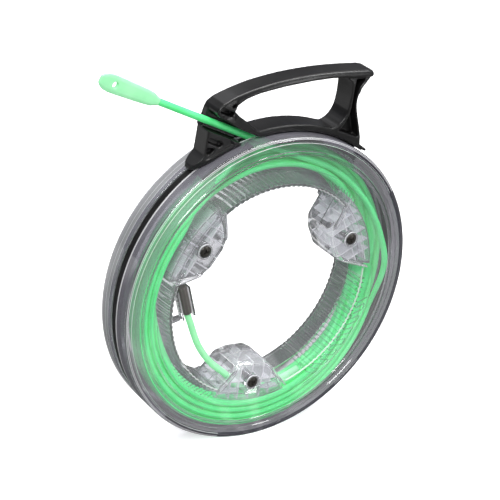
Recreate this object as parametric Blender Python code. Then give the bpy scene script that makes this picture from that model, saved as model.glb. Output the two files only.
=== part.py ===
"""Fish tape reel: a ring-shaped clear case that turns in a carrying handle.

Metres, +Z up, +Y towards the rear. The origin is the hand hold in the middle of
the grip. The case hangs below it, with its axis along Y, and the tape leaves
through the handle's nose on the -X side.
"""
import math

import bmesh
import bpy
from mathutils import Vector

# ---- driving dimensions, in metres ----
GAP = 0.0003                    # clearance between pieces that touch
GRIP_HEIGHT = 0.200             # hand hold above the case axis

CASE_RADIUS = 0.1524            # 12 inch case
CASE_HALF_DEPTH = 0.0230
WALL = 0.0025
SLOT_HALF_WIDTH = 0.0042        # circumferential slot between the two shells
OPENING_RADIUS = 0.1040
RIM_ROUND = 0.0032
GROOVE_RADIUS = 0.1402          # ring groove moulded in each face
GROOVE_DEPTH = 0.0008
RING_STEPS = 72
ROUND_STEPS = 20                # sides of a round post, bore, screw or insert

BOSS_ANGLES = (25.4, 145.4, 265.4)
BOSS_HALF_ANGLE = 20.5
BOSS_INNER = 0.0725             # flat inner face, from the axis
BOSS_INNER_HALF_WIDTH = 0.0125
BOSS_FLARE = 0.94               # widening of the boss towards the case wall
BOSS_CROWN = 0.0045             # how far the inner face leans back at the outer faces
BOSS_FACE = 0.0210              # outer face of the boss, from the middle plane
BOSS_WALL = 0.0022
WING_HEIGHT = 0.0020

SCREW_CIRCLE = 0.0939
SCREW_BOSS_RADIUS = 0.0076
SCREW_BOSS_TOP = 0.0246
SCREW_HEAD_RADIUS = 0.0052
SCREW_HEAD_HEIGHT = 0.0029
SCREW_SHANK_RADIUS = 0.0021
SCREW_SEAT = 0.0212
INSERT_RADIUS = 0.0032
INSERT_LENGTH = 0.0092

TAPE_RADIUS = 0.003175          # 1/4 inch rod
TAPE_RISE = math.radians(24.1)  # the outgoing run climbs at this angle
TAPE_OFFSET = 0.1234            # distance of the outgoing run from the case axis
COIL_INNER = 0.1140
COIL_OUTER = 0.1410
COIL_HALF_DEPTH = 0.0170
COIL_GROOVE_FLOOR = 0.1198      # the outgoing run lies in a groove of the coil
COIL_GROOVE_HALF_WIDTH = 0.0040
LEAD_START = -0.0120            # along the outgoing run, from its tangent point
LEAD_END = 0.1947
EYE_TIP = 0.2580
EYE_HOLE_FROM_TIP = 0.0155
EYE_HOLE_RADIUS = 0.0029

TAIL_DEPTH = -0.0120            # plane of the tape's inner end
FERRULE_RADIUS = 0.0047
CRADLE_WALL = 0.0019
PASSAGE_CLEARANCE = 0.0012      # round the tape, where it crosses a boss
BOSS_ROOT = 0.0012              # how far a boss runs into the wall of the opening

HANDLE_HALF_WIDTH = 0.0120
NOSE_HALF_WIDTH = 0.0098
NECK_HALF_WIDTH = 0.0038
SADDLE_RADIUS = 0.1536          # underside of the saddle, just clear of the case
BAND_TOP_RADIUS = 0.1600
SHOE_INNER = 0.1432
SHOE_OUTER = 0.1494
SHOE_ANGLES = (55.0, 124.5)
STRIP_INNER = 0.1472            # strip that closes the slot
STRIP_OUTER = 0.1484
STRIP_HALF_WIDTH = 0.0080
STRIP_RIB_TOP = 0.1512          # rib of the strip that stands in the slot
STRIP_RIB_HALF_WIDTH = 0.0038
SLOT_REAR_WALL = 0.0040         # the tape slot is open to the front of this plane
POCKET_FLOOR = 0.0045           # of the nose pockets, from the middle plane
STRUT_WEB_HALF_WIDTH = 0.0022
CLEAR_DEPTH = 0.0200            # past both faces of the handle, for through cuts

RUN = Vector((-math.cos(TAPE_RISE), 0.0, math.sin(TAPE_RISE)))
RUN_NORMAL = Vector((math.sin(TAPE_RISE), 0.0, math.cos(TAPE_RISE)))


# ---- helpers ----
def clear_scene():
    for item in list(bpy.data.objects):
        bpy.data.objects.remove(item, do_unlink=True)


def material(name, colour, roughness, metallic=0.0, alpha=1.0):
    finish = bpy.data.materials.new(name)
    finish.use_nodes = True
    shader = finish.node_tree.nodes["Principled BSDF"]
    shader.inputs["Base Color"].default_value = (*colour, 1.0)
    shader.inputs["Roughness"].default_value = roughness
    shader.inputs["Metallic"].default_value = metallic
    shader.inputs["Alpha"].default_value = alpha
    return finish


def polar(radius, degrees, depth=0.0):
    """A point at a radius and angle about the case axis."""
    angle = math.radians(degrees)
    return Vector((radius * math.cos(angle), depth, radius * math.sin(angle)))


def along_run(distance, height=0.0, depth=0.0):
    """A point beside the outgoing run of tape."""
    foot = RUN_NORMAL * (TAPE_OFFSET + height) + RUN * distance
    return Vector((foot.x, depth, foot.z))


def arc(radius, start, end, steps):
    """Points of an arc about the case axis."""
    return [polar(radius, start + (end - start) * i / steps) for i in range(steps + 1)]


def smooth(points, steps):
    """Points of a Catmull-Rom curve through the given ones."""
    points = [Vector(p) for p in points]
    ends = [2 * points[0] - points[1]] + points + [2 * points[-1] - points[-2]]
    curve = []
    for a, b, c, d in zip(ends, ends[1:], ends[2:], ends[3:]):
        for i in range(steps):
            t = i / steps
            curve.append(0.5 * (2 * b + (c - a) * t + (2 * a - 5 * b + 4 * c - d) * t ** 2
                                + (3 * b - a - 3 * c + d) * t ** 3))
    return curve + [points[-1]]


def new_object(name, mesh_maker, finish=None, parent=None):
    mesh = bpy.data.meshes.new(name)
    bm = bmesh.new()
    mesh_maker(bm)
    bmesh.ops.recalc_face_normals(bm, faces=bm.faces)
    bm.to_mesh(mesh)
    bm.free()
    mesh.shade_smooth()
    mesh.set_sharp_from_angle(angle=math.radians(35))
    thing = bpy.data.objects.new(name, mesh)
    bpy.context.collection.objects.link(thing)
    thing.parent = parent
    if finish:
        mesh.materials.append(finish)
    return thing


def add_loft(bm, rings, closed=False):
    """A skin over rings of points, capped at both ends unless it closes on itself."""
    loops = [[bm.verts.new(p) for p in ring] for ring in rings]
    pairs = list(zip(loops, loops[1:]))
    if closed:
        pairs.append((loops[-1], loops[0]))
    for low, high in pairs:
        for i in range(len(low)):
            j = (i + 1) % len(low)
            bm.faces.new((low[i], low[j], high[j], high[i]))
    if not closed:
        bm.faces.new(loops[0])
        bm.faces.new(loops[-1])


def add_plate(bm, outline, front, rear):
    """An outline in the XZ plane, extruded in depth."""
    add_loft(bm, [[Vector((p.x, depth, p.z)) for p in outline] for depth in (front, rear)])


def add_turned(bm, profile, start=0.0, end=360.0):
    """A profile of (radius, depth) points turned about the case axis."""
    full = end - start >= 360.0
    steps = max(2, round(RING_STEPS * (end - start) / 360.0))
    count = steps if full else steps + 1
    rings = []
    for i in range(count):
        angle = start + (end - start) * i / steps
        rings.append([polar(radius, angle, depth) for radius, depth in profile])
    add_loft(bm, rings, closed=full)


def add_cylinder(bm, centre, radius, front, rear, steps=ROUND_STEPS):
    """A cylinder whose axis runs in depth through a point."""
    rings = []
    for depth in (front, rear):
        rings.append([Vector((centre.x + radius * math.cos(math.tau * i / steps), depth,
                              centre.z + radius * math.sin(math.tau * i / steps)))
                      for i in range(steps)])
    add_loft(bm, rings)


def tool(name, mesh_maker, parent):
    """A hidden solid that a Boolean adds or takes away."""
    shape = new_object(name, mesh_maker, parent=parent)
    shape.hide_render = True
    shape.display_type = 'WIRE'
    return shape


def combine(target, operand, operation):
    step = target.modifiers.new(operand.name, 'BOOLEAN')
    step.operation = operation
    step.solver = 'EXACT'
    step.object = operand


def tube(name, points, radius, parent, finish):
    """A round rod along a list of points."""
    curve = bpy.data.curves.new(name, 'CURVE')
    curve.dimensions = '3D'
    curve.bevel_depth = radius
    curve.bevel_resolution = 2
    curve.use_fill_caps = True
    spline = curve.splines.new('POLY')
    spline.points.add(len(points) - 1)
    for slot, point in zip(spline.points, points):
        slot.co = (*point, 1.0)
    thing = bpy.data.objects.new(name, curve)
    bpy.context.collection.objects.link(thing)
    thing.parent = parent
    curve.materials.append(finish)


def add_pipe(bm, points, radius, steps=12):
    """A round bar along points that all lie at one depth."""
    rings = []
    for i, point in enumerate(points):
        way = (points[min(i + 1, len(points) - 1)] - points[max(i - 1, 0)]).normalized()
        across = Vector((-way.z, 0.0, way.x))
        rings.append([point + across * radius * math.cos(math.tau * k / steps)
                      + Vector((0.0, radius * math.sin(math.tau * k / steps), 0.0))
                      for k in range(steps)])
    add_loft(bm, rings)


# ---- the clear case ----
def shell_profile(side):
    """Half of the ring case: outer wall, rounded rim, grooved face and inner wall."""
    rim_centre = (CASE_RADIUS - RIM_ROUND, CASE_HALF_DEPTH - RIM_ROUND)
    outer = [(CASE_RADIUS - WALL, SLOT_HALF_WIDTH), (CASE_RADIUS - 0.0005, SLOT_HALF_WIDTH),
             (CASE_RADIUS, SLOT_HALF_WIDTH + 0.0007)]
    rim = [(rim_centre[0] + RIM_ROUND * math.cos(a), rim_centre[1] + RIM_ROUND * math.sin(a))
           for a in (math.pi / 2 * i / 3 for i in range(4))]
    groove = [(GROOVE_RADIUS + 0.0022, CASE_HALF_DEPTH),
              (GROOVE_RADIUS + 0.0014, CASE_HALF_DEPTH - GROOVE_DEPTH),
              (GROOVE_RADIUS - 0.0014, CASE_HALF_DEPTH - GROOVE_DEPTH),
              (GROOVE_RADIUS - 0.0022, CASE_HALF_DEPTH)]
    inner = [(OPENING_RADIUS + 0.0008, CASE_HALF_DEPTH), (OPENING_RADIUS, CASE_HALF_DEPTH - 0.0008),
             (OPENING_RADIUS, GAP / 2), (OPENING_RADIUS + WALL, GAP / 2)]
    inside = [(OPENING_RADIUS + WALL, CASE_HALF_DEPTH - WALL),
              (CASE_RADIUS - WALL - 0.0015, CASE_HALF_DEPTH - WALL),
              (CASE_RADIUS - WALL, CASE_HALF_DEPTH - WALL - 0.0015)]
    return [(radius, side * depth) for radius, depth in outer + rim + groove + inner + inside]


def boss_corner(angle, side, inner):
    """A corner of the trapezoid of one boss, at a distance from the case axis."""
    half_width = BOSS_INNER_HALF_WIDTH + BOSS_FLARE * (inner - BOSS_INNER)
    return polar(math.hypot(inner, half_width), angle + side * math.degrees(math.atan2(half_width, inner)))


def boss_outline(angle, root, inset=0.0, crown=0.0):
    """The section of one finger-grip boss: wide on the case wall, narrow inside."""
    half_angle = BOSS_HALF_ANGLE - math.degrees(inset / OPENING_RADIUS)
    inner = BOSS_INNER + inset + crown
    outline = arc(root, angle - half_angle, angle + half_angle, 8)
    corners = [boss_corner(angle, side, inner + 0.0030 + 0.4 * inset) for side in (1, -1)]
    middle = polar(inner, angle)
    across = polar(1.0, angle + 90)
    flat = BOSS_INNER_HALF_WIDTH - 0.0035
    return outline + [corners[0], middle + across * flat, middle - across * flat, corners[1]]


def add_boss(bm, angle, side, root, inset, foot, top):
    """A boss with its inner face leaning back towards the outer face."""
    stages = ((foot, 0.0), (side * 0.0135, 0.0), (side * 0.0178, 0.35 * BOSS_CROWN), (top, BOSS_CROWN))
    rings = []
    for depth, crown in stages:
        outline = boss_outline(angle, root, inset, crown)
        rings.append([Vector((p.x, depth, p.z)) for p in outline])
    add_loft(bm, rings)


def wing_outline(angle, side):
    """The raised edge along one side of a boss."""
    inner = boss_corner(angle, side, BOSS_INNER + BOSS_CROWN)
    outer = polar(OPENING_RADIUS + BOSS_ROOT, angle + side * BOSS_HALF_ANGLE)
    way = (outer - inner).normalized()
    across = Vector((-way.z, 0.0, way.x)) * side * -BOSS_WALL
    start = inner + way * 0.0035 + across * 0.02
    end = outer + way * 0.0030 + across * 0.02
    return [start, end, end + across, start + across]


def make_shell(name, side, finish, parent):
    """One half of the case. side is -1 for the front and +1 for the rear."""
    shell = new_object(name, lambda bm: add_turned(bm, shell_profile(side)), finish, parent)

    def add_blocks(bm):
        for angle in BOSS_ANGLES:
            add_boss(bm, angle, side, OPENING_RADIUS + BOSS_ROOT, 0.0, side * GAP / 2, side * BOSS_FACE)

    def add_hollows(bm):
        for angle in BOSS_ANGLES:
            add_boss(bm, angle, side, OPENING_RADIUS - 0.0004, BOSS_WALL, -side * 0.001,
                     side * (BOSS_FACE - BOSS_WALL))

    def add_screw_posts(bm):
        top = SCREW_BOSS_TOP if side < 0 else BOSS_FACE - 0.0006
        for angle in BOSS_ANGLES:
            add_cylinder(bm, polar(SCREW_CIRCLE, angle), SCREW_BOSS_RADIUS, side * GAP / 2, side * top, 24)

    def add_bores(bm):
        for angle in BOSS_ANGLES:
            centre = polar(SCREW_CIRCLE, angle)
            if side < 0:
                add_stepped_bore(bm, centre, -0.0270, -SCREW_SEAT, 0.0010,
                                 SCREW_HEAD_RADIUS + GAP, SCREW_SHANK_RADIUS + GAP)
            else:
                add_stepped_bore(bm, centre, -0.0010, 0.0108, 0.0150,
                                 INSERT_RADIUS + GAP, SCREW_SHANK_RADIUS + GAP)

    combine(shell, tool(name + "_blocks", add_blocks, parent), 'UNION')
    if side < 0:
        combine(shell, tool(name + "_wings", add_wings, parent), 'UNION')
    combine(shell, tool(name + "_hollows", add_hollows, parent), 'DIFFERENCE')
    combine(shell, tool(name + "_posts", add_screw_posts, parent), 'UNION')
    combine(shell, tool(name + "_bores", add_bores, parent), 'DIFFERENCE')
    return shell


def add_wings(bm):
    for angle in BOSS_ANGLES:
        for side in (1, -1):
            add_plate(bm, wing_outline(angle, side), -CASE_HALF_DEPTH - WING_HEIGHT, -BOSS_FACE + 0.0006)


def add_stepped_bore(bm, centre, start, step, end, wide, narrow, steps=ROUND_STEPS):
    """A round hole along the depth, wide as far as the step and narrow beyond it."""
    rings = []
    for depth, radius in ((start, wide), (step, wide), (step, narrow), (end, narrow)):
        rings.append([Vector((centre.x + radius * math.cos(math.tau * i / steps), depth,
                              centre.z + radius * math.sin(math.tau * i / steps)))
                      for i in range(steps)])
    add_loft(bm, rings)


def make_screw(index, angle, finish, parent):
    """A pan-head screw with a cross recess, head to the front."""
    centre = polar(SCREW_CIRCLE, angle)
    seat = -SCREW_SEAT - GAP
    top = seat - SCREW_HEAD_HEIGHT
    steps = ROUND_STEPS
    profile = [(SCREW_HEAD_RADIUS * 0.72, top), (SCREW_HEAD_RADIUS * 0.93, top + 0.0006),
               (SCREW_HEAD_RADIUS, top + 0.0015), (SCREW_HEAD_RADIUS, seat),
               (SCREW_SHANK_RADIUS, seat), (SCREW_SHANK_RADIUS, 0.0084), (0.0012, 0.0094)]

    def add_screw(bm):
        add_loft(bm, [[Vector((centre.x + radius * math.cos(math.tau * i / steps), depth,
                               centre.z + radius * math.sin(math.tau * i / steps)))
                       for i in range(steps)] for radius, depth in profile])

    def add_recess(bm):
        long, short = 0.0031, 0.0008
        corners = ((long, short), (short, short), (short, long), (-short, long), (-short, short),
                   (-long, short), (-long, -short), (-short, -short), (-short, -long),
                   (short, -long), (short, -short), (long, -short))
        add_plate(bm, [centre + Vector((x, 0.0, z)) for x, z in corners], top - 0.001, top + 0.0017)

    name = f"case_screw_{index}"
    screw = new_object(name, add_screw, finish, parent)
    combine(screw, tool(name + "_recess", add_recess, parent), 'DIFFERENCE')


def make_insert(index, angle, finish, parent):
    """A brass threaded insert in the rear boss, flanged like a short tube."""
    centre = polar(SCREW_CIRCLE, angle)
    steps = ROUND_STEPS
    start, end = 0.0005, 0.0005 + INSERT_LENGTH
    bore = SCREW_SHANK_RADIUS + GAP
    waist = INSERT_RADIUS - 0.0003
    profile = [(bore, start), (INSERT_RADIUS, start), (INSERT_RADIUS, start + 0.0035),
               (waist, start + 0.0040), (waist, start + 0.0055), (INSERT_RADIUS, start + 0.0060),
               (INSERT_RADIUS, end), (bore, end)]

    def add_insert(bm):
        rings = []
        for i in range(steps):
            angle_here = math.tau * i / steps
            rings.append([Vector((centre.x + radius * math.cos(angle_here), depth,
                                  centre.z + radius * math.sin(angle_here)))
                          for radius, depth in profile])
        add_loft(bm, rings, closed=True)

    new_object(f"threaded_insert_{index}", add_insert, finish, parent)


# ---- the tape ----
def coil_profile():
    """Section of the wound tape, with a groove in the middle for the outgoing run."""
    half = [(COIL_INNER + 0.003, COIL_HALF_DEPTH), (COIL_OUTER - 0.003, COIL_HALF_DEPTH),
            (COIL_OUTER, COIL_HALF_DEPTH - 0.003), (COIL_OUTER, COIL_GROOVE_HALF_WIDTH),
            (COIL_GROOVE_FLOOR, COIL_GROOVE_HALF_WIDTH)]
    mirrored = [(radius, -depth) for radius, depth in reversed(half)]
    inner = [(COIL_INNER, -COIL_HALF_DEPTH + 0.003), (COIL_INNER, COIL_HALF_DEPTH - 0.003)]
    return half + mirrored + inner


def tail_route():
    """The tape's inner end: out of the coil, through a boss and across the opening."""
    bends = [(0.1102, -62.0), (0.1096, -75.0), (0.1078, -85.0), (0.1055, -94.6), (0.1004, -103.0),
             (0.0914, -110.8), (0.0857, -126.6), (0.0820, -144.2), (0.0812, -164.3), (0.0833, -171.7)]
    return smooth([polar(radius, angle, TAIL_DEPTH) for radius, angle in bends], 4)


def make_eye(finish, parent):
    """The flat pulling eye on the end of the tape."""
    start = LEAD_END + GAP
    sections = [(start, 0.0036, 0.0036), (start + 0.0025, 0.0042, 0.0036), (start + 0.0065, 0.0060, 0.0031),
                (start + 0.0120, 0.0066, 0.0026), (start + 0.0250, 0.0073, 0.0023),
                (EYE_TIP - 0.0180, 0.0080, 0.0021), (EYE_TIP - 0.0120, 0.0081, 0.0020),
                (EYE_TIP - 0.0070, 0.0075, 0.0019), (EYE_TIP - 0.0030, 0.0059, 0.0017),
                (EYE_TIP, 0.0034, 0.0012)]
    steps = 16

    def add_eye(bm):
        rings = []
        for distance, half_width, half_thickness in sections:
            ring = []
            for i in range(steps):
                angle = math.tau * (i + 0.5) / steps
                square = max(abs(math.cos(angle)), abs(math.sin(angle))) ** -0.6
                ring.append(along_run(distance, half_width * math.cos(angle) * min(square, 1.12),
                                      half_thickness * math.sin(angle) * min(square, 1.12)))
            rings.append(ring)
        add_loft(bm, rings)

    def add_hole(bm):
        add_cylinder(bm, along_run(EYE_TIP - EYE_HOLE_FROM_TIP), EYE_HOLE_RADIUS, -0.01, 0.01, 16)

    eye = new_object("pulling_eye", add_eye, finish, parent)
    combine(eye, tool("pulling_eye_hole", add_hole, parent), 'DIFFERENCE')


def ferrule_frame():
    """Foot, axis and side direction of the ferrule on the tape's inner end."""
    route = tail_route()
    way = (polar(0.0937, 168.9, TAIL_DEPTH) - route[-1]).normalized()
    return route[-1], way, Vector((-way.z, 0.0, way.x))


def make_ferrule(finish, parent):
    foot, way, across = ferrule_frame()
    steps = 32

    def add_ferrule(bm):
        rings = []
        for distance, scale in ((GAP, 0.86), (0.0015, 1.0), (0.0285, 1.0), (0.0300, 0.86)):
            ring = []
            for i in range(steps):
                angle = math.tau * i / steps
                radius = scale * (FERRULE_RADIUS - 0.0002 + 0.0002 * (1 if i % 4 < 2 else -1))
                ring.append(foot + way * distance + across * radius * math.cos(angle)
                            + Vector((0.0, radius * math.sin(angle), 0.0)))
            rings.append(ring)
        add_loft(bm, rings)

    new_object("tail_ferrule", add_ferrule, finish, parent)


def make_cradle(finish, parent):
    """The clear channel that holds the ferrule, on a strut from the case wall."""
    foot, way, across = ferrule_frame()
    inside = FERRULE_RADIUS + GAP
    outside = inside + CRADLE_WALL
    lips = -0.0030
    section = [(-outside, lips), (-outside, outside * 0.6), (-outside * 0.6, outside),
               (outside * 0.6, outside), (outside, outside * 0.6), (outside, lips), (inside, lips),
               (inside, inside * 0.6), (inside * 0.6, inside), (-inside * 0.6, inside),
               (-inside, inside * 0.6), (-inside, lips)]

    def add_channel(bm):
        add_loft(bm, [[foot + way * distance + across * side + Vector((0.0, depth, 0.0))
                       for side, depth in section] for distance in (-0.0040, 0.0275)])

    def add_strut(bm):
        side = foot - way * 0.0020 + across * (inside + 0.0006)
        angle = math.degrees(math.atan2(side.z, side.x))
        root = polar(math.hypot(side.x, side.z), angle)
        wall = polar(OPENING_RADIUS - 2 * GAP, angle)
        rise = Vector((-wall.z, 0.0, wall.x)).normalized() * 0.0012
        corners = [root - rise, root + rise, wall + rise * 1.6, wall - rise * 1.6]
        add_plate(bm, corners, TAIL_DEPTH - 0.0015, TAIL_DEPTH + 0.0045)

    cradle = new_object("tail_cradle", add_channel, finish, parent)
    combine(cradle, tool("tail_cradle_strut", add_strut, parent), 'UNION')


# ---- the handle ----
def handle_outline():
    """Side view of the handle, from the foot over the nose and grip to the tail."""
    point = Vector
    foot = [polar(SADDLE_RADIUS, 125.4), polar(0.1560, 125.9), polar(0.1585, 124.7)]
    nose = [point((-0.0836, 0, 0.1362)), point((-0.0806, 0, 0.1402)), point((-0.0790, 0, 0.1634)),
            point((-0.0776, 0, 0.1652)), point((-0.0746, 0, 0.1700)), point((-0.0734, 0, 0.1790)),
            point((-0.0712, 0, 0.1832)), point((-0.0668, 0, 0.1866))]
    back = smooth([(-0.0668, 0, 0.1866), (-0.0524, 0, 0.1925), (-0.0300, 0, 0.1985), (0.0000, 0, 0.2030),
                   (0.0320, 0, 0.2050), (0.0600, 0, 0.2048), (0.0860, 0, 0.2034)], 3)
    tip = [point((0.0908, 0, 0.2026)), point((0.0926, 0, 0.2008)), point((0.0924, 0, 0.1986))]
    strut = smooth([(0.0908, 0, 0.1962), (0.0850, 0, 0.1920), (0.0790, 0, 0.1838), (0.0772, 0, 0.1740),
                    (0.0788, 0, 0.1640), (0.0830, 0, 0.1510), (0.0866, 0, 0.1386)], 3)
    hook = [polar(0.1576, 56.4), polar(0.1578, 53.0), polar(0.1571, 52.3), polar(0.1552, 52.8),
            polar(0.1550, 54.2), polar(SADDLE_RADIUS, 54.4)]
    underside = arc(SADDLE_RADIUS, 54.4, 125.4, 22)[1:-1]
    return foot + nose + back[1:] + tip + strut + hook + underside


def window_outline():
    """The hand opening between the grip and the saddle."""
    floor = arc(BAND_TOP_RADIUS, 99.5, 72.5, 8)
    strut = smooth([(0.0535, 0, 0.1512), (0.0610, 0, 0.1545), (0.0672, 0, 0.1630), (0.0694, 0, 0.1740),
                    (0.0696, 0, 0.1860), (0.0688, 0, 0.1935)], 3)
    grip = smooth([(0.0640, 0, 0.1975), (0.0480, 0, 0.1989), (0.0250, 0, 0.1984), (-0.0050, 0, 0.1960),
                   (-0.0300, 0, 0.1925), (-0.0440, 0, 0.1885), (-0.0525, 0, 0.1830),
                   (-0.0538, 0, 0.1782)], 3)
    ramp = [Vector((-0.0500, 0, 0.1742)), Vector((-0.0400, 0, 0.1672)), Vector((-0.0310, 0, 0.1598))]
    return floor + strut + grip + ramp


def slot_outline():
    """The channel that the tape runs out through, flared at the nose."""
    corners = ((0.0600, -0.0065), (0.1570, -0.0068), (0.1570, 0.0172), (0.1402, 0.0132),
               (0.1396, 0.0094), (0.1345, 0.0074), (0.1246, 0.0066), (0.1080, 0.0045), (0.0600, 0.0045))
    return [along_run(distance, height) for distance, height in corners]


def oval(length, height, tilt, x, z, steps=6):
    """A slot-shaped pocket with round ends."""
    points = []
    for end in (1, -1):
        for i in range(steps + 1):
            angle = end * math.pi / 2 - math.pi * i / steps
            points.append((end * (length - height) / 2 + height / 2 * math.cos(angle),
                           height / 2 * math.sin(angle)))
    turn = math.radians(tilt)
    return [Vector((x + a * math.cos(turn) - b * math.sin(turn), 0.0,
                    z + a * math.sin(turn) + b * math.cos(turn))) for a, b in points]


def add_cheeks(bm):
    """What is cut from both sides of the nose to leave a flange along the case."""
    cheek = arc(SADDLE_RADIUS + 0.0036, 122.0, 109.5, 6)
    cheek += [along_run(0.1130, -0.0068), along_run(0.1750, -0.0068), Vector((-0.1050, 0.0, 0.1400)),
              polar(SADDLE_RADIUS + 0.0060, 125.0)]
    for front, rear in ((-CLEAR_DEPTH, -NOSE_HALF_WIDTH), (NOSE_HALF_WIDTH, CLEAR_DEPTH)):
        add_plate(bm, cheek, front, rear)


def add_foot_corners(bm):
    """What is cut from the foot to leave a rounded tongue."""
    plan = ((128.0, 0.0042), (125.2, 0.0048), (124.3, 0.0068), (123.0, 0.0085), (121.2, 0.0100),
            (118.5, 0.0122), (118.5, 0.0150), (128.0, 0.0150))
    for side in (1, -1):
        add_loft(bm, [[polar(radius, angle, side * depth) for angle, depth in plan]
                      for radius in (0.1500, 0.1680)])


def strut_pocket_outline():
    """The recess in each face of the rear strut, leaving a rim all round."""
    inner = smooth([(0.0735, 0, 0.1955), (0.0722, 0, 0.1860), (0.0721, 0, 0.1740), (0.0702, 0, 0.1615),
                    (0.0640, 0, 0.1510), (0.0600, 0, 0.1482)], 3)
    outer = smooth([(0.0842, 0, 0.1386), (0.0808, 0, 0.1510), (0.0769, 0, 0.1630), (0.0753, 0, 0.1740),
                    (0.0768, 0, 0.1845), (0.0812, 0, 0.1916), (0.0850, 0, 0.1955)], 3)
    return inner + outer


def make_handle(finish, parent):
    """The one-piece handle: grip, nose, saddle, neck and the shoe inside the case."""
    half = HANDLE_HALF_WIDTH

    def add_body(bm):
        add_plate(bm, handle_outline(), -half, half)
        edges = [e for e in bm.edges if abs(e.verts[0].co.y - e.verts[1].co.y) < 1e-6
                 and min(e.verts[0].co.xz.length, e.verts[1].co.xz.length) > SADDLE_RADIUS + 0.0100]
        bmesh.ops.bevel(bm, geom=edges, offset=0.0016, segments=2, affect='EDGES', profile=0.5)

    def add_rail(bm):
        low, high = SHOE_ANGLES
        shoe = [(SHOE_INNER, -half), (SHOE_INNER, half), (SHOE_OUTER, half),
                (SHOE_OUTER, NECK_HALF_WIDTH), (SADDLE_RADIUS + 0.002, NECK_HALF_WIDTH),
                (SADDLE_RADIUS + 0.002, -NECK_HALF_WIDTH), (SHOE_OUTER, -NECK_HALF_WIDTH),
                (SHOE_OUTER, -half)]
        add_turned(bm, shoe, low, high)

    handle = new_object("handle", add_body, finish, parent)
    upper_slot = oval(0.0165, 0.0048, -24, -0.0625, 0.1787)
    lower_slot = oval(0.0170, 0.0048, -24, -0.0708, 0.1512)
    upper_corner = [Vector((-0.0592, 0, 0.1838)), Vector((-0.0529, 0, 0.1872)), Vector((-0.0552, 0, 0.1817))]
    lower_corner = [Vector((-0.0790, 0, 0.1477)), Vector((-0.0706, 0, 0.1454)), Vector((-0.0726, 0, 0.1419)),
                    Vector((-0.0762, 0, 0.1402)), Vector((-0.0790, 0, 0.1420))]
    cuts = {
        "window": lambda bm: add_plate(bm, window_outline(), -CLEAR_DEPTH, CLEAR_DEPTH),
        "tape_slot": lambda bm: add_plate(bm, slot_outline(), -CLEAR_DEPTH, SLOT_REAR_WALL),
        "cheeks": add_cheeks,
        "foot_corners": add_foot_corners,
        "upper_slot": lambda bm: add_plate(bm, upper_slot, -CLEAR_DEPTH, -POCKET_FLOOR),
        "lower_slot": lambda bm: add_plate(bm, lower_slot, -CLEAR_DEPTH, -POCKET_FLOOR),
        "upper_corner": lambda bm: add_plate(bm, upper_corner, -CLEAR_DEPTH, -POCKET_FLOOR),
        "lower_corner": lambda bm: add_plate(bm, lower_corner, -CLEAR_DEPTH, -POCKET_FLOOR),
        "strut_front": lambda bm: add_plate(bm, strut_pocket_outline(), -CLEAR_DEPTH, -STRUT_WEB_HALF_WIDTH),
        "strut_rear": lambda bm: add_plate(bm, strut_pocket_outline(), STRUT_WEB_HALF_WIDTH, CLEAR_DEPTH),
    }
    combine(handle, tool("handle_rail", add_rail, parent), 'UNION')
    for name, maker in cuts.items():
        combine(handle, tool("handle_" + name, maker, parent), 'DIFFERENCE')


def make_strip(finish, parent):
    """The black strip that closes the rest of the slot, from shoe end to shoe end."""
    clearance = math.degrees(GAP / STRIP_INNER)
    profile = [(STRIP_INNER, -STRIP_HALF_WIDTH), (STRIP_INNER, STRIP_HALF_WIDTH),
               (STRIP_OUTER, STRIP_HALF_WIDTH), (STRIP_OUTER, STRIP_RIB_HALF_WIDTH),
               (STRIP_RIB_TOP, STRIP_RIB_HALF_WIDTH), (STRIP_RIB_TOP, -STRIP_RIB_HALF_WIDTH),
               (STRIP_OUTER, -STRIP_RIB_HALF_WIDTH), (STRIP_OUTER, -STRIP_HALF_WIDTH)]
    start = SHOE_ANGLES[1] + clearance
    end = SHOE_ANGLES[0] + 360.0 - clearance
    new_object("slot_strip", lambda bm: add_turned(bm, profile, start, end), finish, parent)


def main():
    clear_scene()
    clear = material("clear_case", (0.80, 0.81, 0.85), 0.12, alpha=0.35)
    black = material("black_handle", (0.020, 0.020, 0.022), 0.42)
    rubber = material("black_strip", (0.012, 0.012, 0.014), 0.55)
    steel = material("black_screw", (0.015, 0.015, 0.016), 0.35, metallic=0.6)
    brass = material("insert_brass", (0.62, 0.45, 0.18), 0.35, metallic=1.0)
    green = material("tape_green", (0.17, 0.85, 0.30), 0.40)
    pale = material("eye_green", (0.36, 0.92, 0.45), 0.45)
    dark = material("ferrule_dark", (0.05, 0.045, 0.045), 0.45)

    centre = bpy.data.objects.new("reel_centre", None)
    centre.location = (0.0, 0.0, -GRIP_HEIGHT)
    case_axis = bpy.data.objects.new("case_axis", None)
    tape_axis = bpy.data.objects.new("tape_axis", None)
    for guide in (centre, case_axis, tape_axis):
        bpy.context.collection.objects.link(guide)
    case_axis.parent = centre
    tape_axis.parent = centre

    front = make_shell("front_shell", -1, clear, case_axis)
    make_shell("rear_shell", 1, clear, case_axis)
    bore = TAPE_RADIUS + PASSAGE_CLEARANCE
    passage = tool("tail_passage", lambda bm: add_pipe(bm, tail_route(), bore), case_axis)
    combine(front, passage, 'DIFFERENCE')
    for index, angle in enumerate(BOSS_ANGLES, 1):
        make_screw(index, angle, steel, case_axis)
        make_insert(index, angle, brass, case_axis)
    new_object("tape_coil", lambda bm: add_turned(bm, coil_profile()), green, case_axis)
    tube("tape_tail", tail_route(), TAPE_RADIUS, case_axis, pale)
    make_ferrule(dark, case_axis)
    make_cradle(clear, case_axis)

    make_handle(black, centre)
    make_strip(rubber, centre)
    lead = [along_run(LEAD_START + (LEAD_END - LEAD_START) * i / 12) for i in range(13)]
    tube("tape_lead", lead, TAPE_RADIUS, tape_axis, green)
    make_eye(pale, tape_axis)


main()
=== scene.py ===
"""Looks of the fish tape reel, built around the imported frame."""
import math

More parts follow.
